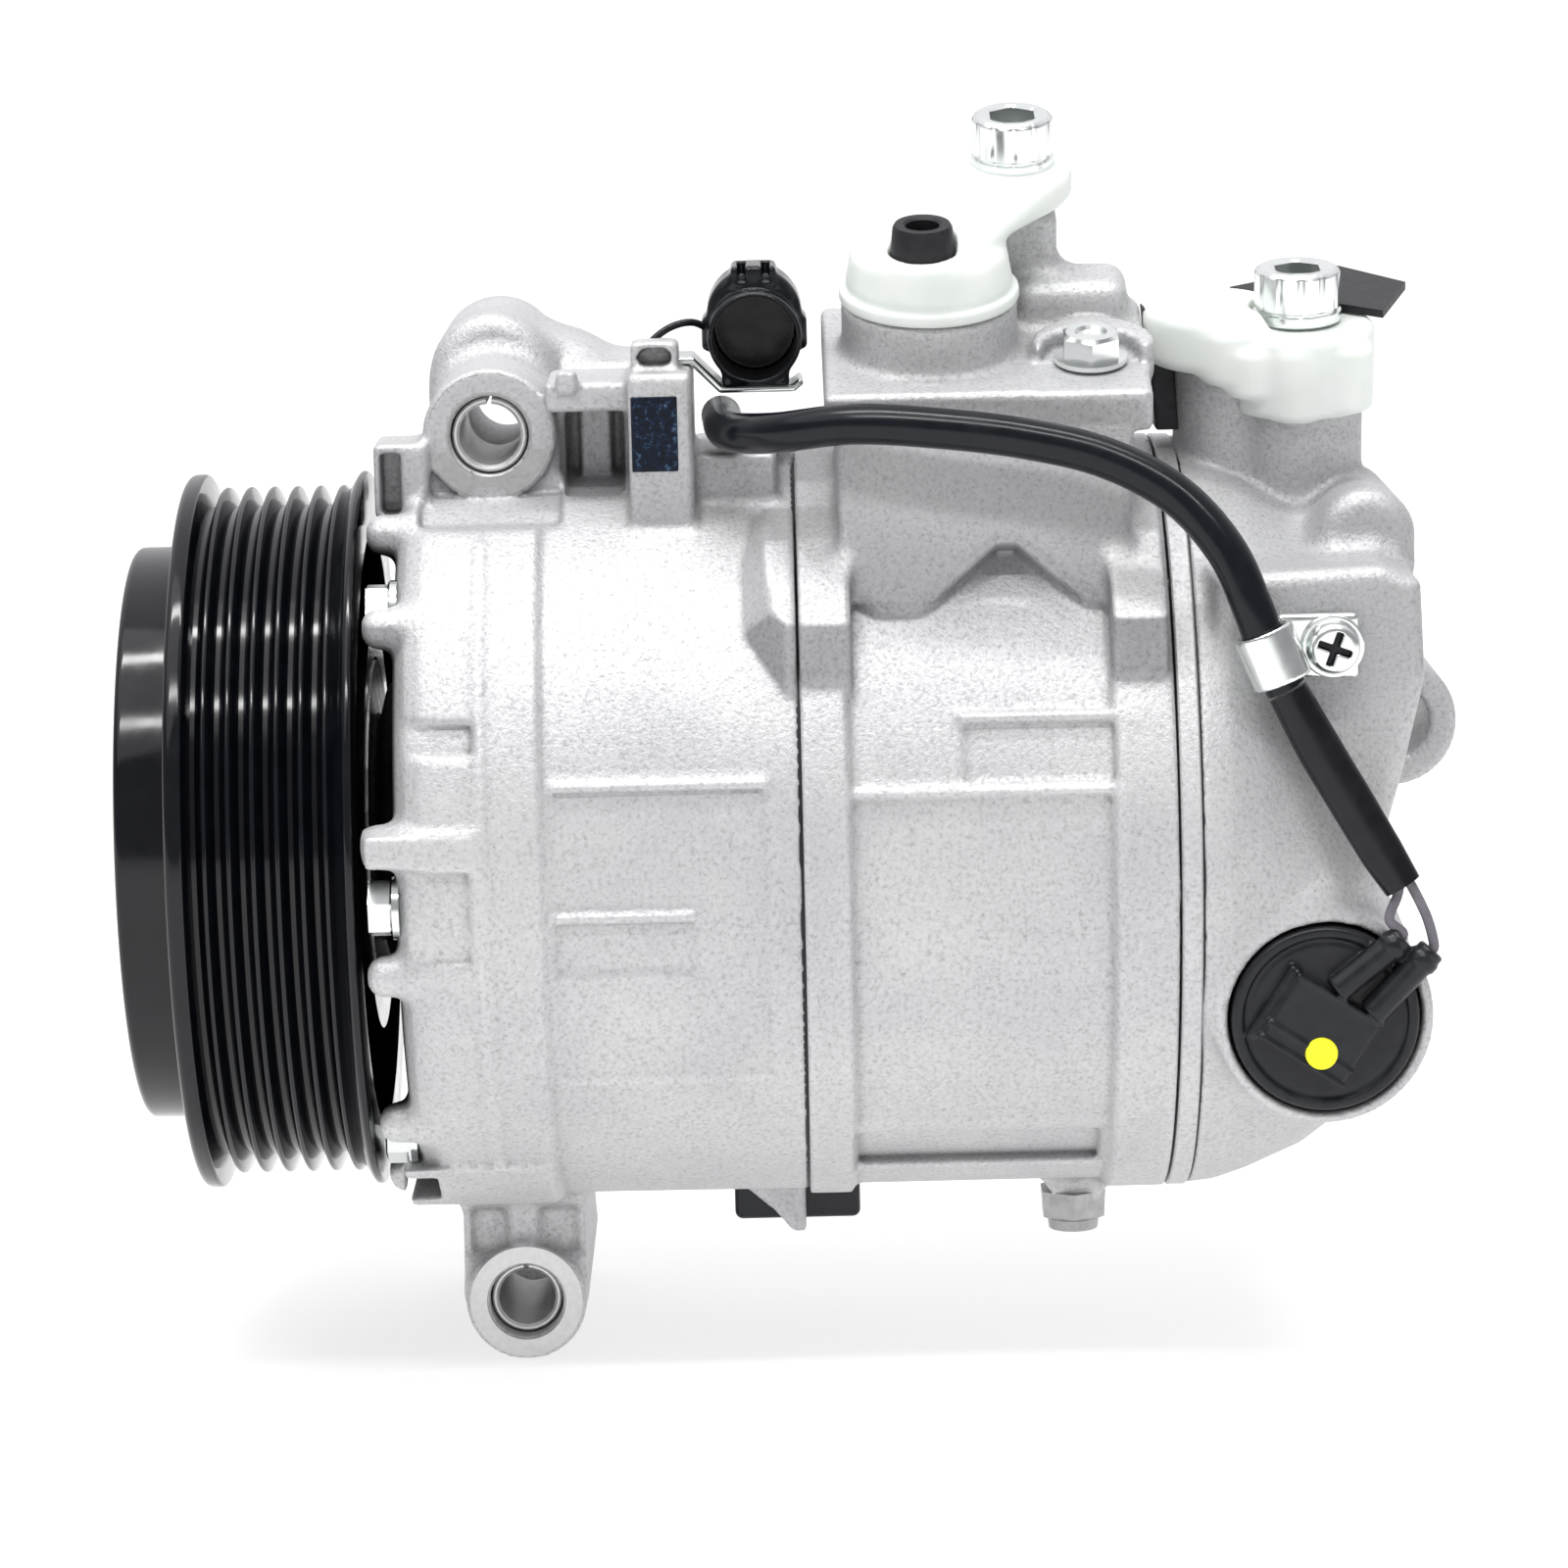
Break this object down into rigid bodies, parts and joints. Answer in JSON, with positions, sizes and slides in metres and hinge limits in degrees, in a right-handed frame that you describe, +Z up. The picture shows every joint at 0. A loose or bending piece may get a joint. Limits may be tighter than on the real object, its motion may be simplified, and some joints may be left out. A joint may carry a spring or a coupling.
{
  "type": "automotive air-conditioning compressor",
  "caption": "Belt-driven variable-displacement swash-plate compressor with ribbed pulley, three bored mounting ears, two capped ports and a solenoid control valve with a clipped cable.",
  "frame": {"origin": "centre of the hub bolt's flat head, on the shaft's axis", "axes": "+X along the shaft from the pulley towards the rear housing, +Y towards the engine that the ears bolt to, +Z up towards the port caps"},
  "size_m": [0.2052, 0.1178, 0.1918],
  "materials": {
    "cast_aluminium": "sand-cast and shot-blasted, pale and matt",
    "bright_steel": "zinc-plated, bright",
    "ground_steel": "ground",
    "piston_alloy": "machined",
    "black_gloss": "glossy black",
    "rubber": "matt black",
    "black_plastic": "moulded, slight sheen",
    "cap_plastic": "milky white, slightly translucent",
    "grey_wire": "grey insulation"
  },
  "bodies": {
    "housing": {"front_housing": "cast_aluminium", "cylinder_block": "cast_aluminium", "rear_housing": "cast_aluminium", "front_gasket": "rubber", "rear_gasket": "rubber", "valve_plate": "ground_steel", "suction_reed": "bright_steel", "discharge_reed": "bright_steel", "shaft_seal": "rubber", "front_bearing": "ground_steel", "thrust_bearing": "ground_steel", "rear_bearing": "ground_steel", "pulley_bearing": "ground_steel", "snap_ring": "bright_steel", "suction_port_cap": "cap_plastic", "suction_cap_plug": "rubber", "suction_cap_bolt": "bright_steel", "discharge_port_cap": "cap_plastic", "discharge_cap_bolt": "bright_steel", "seal_pad": "rubber", "port_block_bolt": "bright_steel", "control_valve": "ground_steel", "valve_boot": "black_plastic", "harness_wire_a": "grey_wire", "harness_wire_b": "grey_wire", "harness_sleeve": "black_plastic", "harness_cable": "black_gloss", "cable_clamp": "bright_steel", "clamp_screw": "bright_steel", "connector_shell": "black_plastic", "connector_bracket": "bright_steel", "ear_bush_top": "bright_steel", "ear_bush_low": "bright_steel", "relief_valve": "ground_steel", "through_bolt_1": "bright_steel", "through_bolt_2": "bright_steel", "through_bolt_3": "bright_steel", "through_bolt_4": "bright_steel", "through_bolt_5": "bright_steel", "through_bolt_6": "bright_steel", "through_bolt_7": "bright_steel"},
    "rotor": {"pulley": "black_gloss", "drive_hub": "black_gloss", "hub_damper": "rubber", "hub_bolt": "bright_steel", "shaft": "ground_steel", "lug_plate": "ground_steel", "return_spring": "bright_steel"},
    "swash_plate": {"swash_plate": "ground_steel"},
    "piston_1": {"piston_1": "piston_alloy"},
    "piston_2": {"piston_2": "piston_alloy"},
    "piston_3": {"piston_3": "piston_alloy"},
    "piston_4": {"piston_4": "piston_alloy"},
    "piston_5": {"piston_5": "piston_alloy"},
    "piston_6": {"piston_6": "piston_alloy"},
    "piston_7": {"piston_7": "piston_alloy"}
  },
  "joints": [
    {"name": "shaft_spin", "type": "hinge", "parent": "housing", "child": "rotor", "pos_m": [0, 0, 0], "axis": [1, 0, 0], "continuous": true},
    {"name": "swash_tilt", "type": "hinge", "parent": "housing", "child": "swash_plate", "pos_m": [0.084, 0, 0], "axis": [0, 0.9853, -0.1707], "range_deg": [0, 20], "stiffness_Nm_per_rad": 4},
    {"name": "piston_1_slide", "type": "slide", "parent": "housing", "child": "piston_1", "axis": [1, 0, 0], "range_m": [-0.0142, 0.0142]},
    {"name": "piston_2_slide", "type": "slide", "parent": "housing", "child": "piston_2", "axis": [1, 0, 0], "range_m": [-0.0142, 0.0142]},
    {"name": "piston_3_slide", "type": "slide", "parent": "housing", "child": "piston_3", "axis": [1, 0, 0], "range_m": [-0.0142, 0.0142]},
    {"name": "piston_4_slide", "type": "slide", "parent": "housing", "child": "piston_4", "axis": [1, 0, 0], "range_m": [-0.0142, 0.0142]},
    {"name": "piston_5_slide", "type": "slide", "parent": "housing", "child": "piston_5", "axis": [1, 0, 0], "range_m": [-0.0142, 0.0142]},
    {"name": "piston_6_slide", "type": "slide", "parent": "housing", "child": "piston_6", "axis": [1, 0, 0], "range_m": [-0.0142, 0.0142]},
    {"name": "piston_7_slide", "type": "slide", "parent": "housing", "child": "piston_7", "axis": [1, 0, 0], "range_m": [-0.0142, 0.0142]}
  ],
  "couplings": [
    {"joint": "piston_1_slide", "follows": "swash_tilt", "m_per_rad": 0.036169},
    {"joint": "piston_2_slide", "follows": "swash_tilt", "m_per_rad": 0.036168},
    {"joint": "piston_3_slide", "follows": "swash_tilt", "m_per_rad": 0.008932},
    {"joint": "piston_4_slide", "follows": "swash_tilt", "m_per_rad": -0.02503},
    {"joint": "piston_5_slide", "follows": "swash_tilt", "m_per_rad": -0.040144},
    {"joint": "piston_6_slide", "follows": "swash_tilt", "m_per_rad": -0.025028},
    {"joint": "piston_7_slide", "follows": "swash_tilt", "m_per_rad": 0.008934}
  ]
}
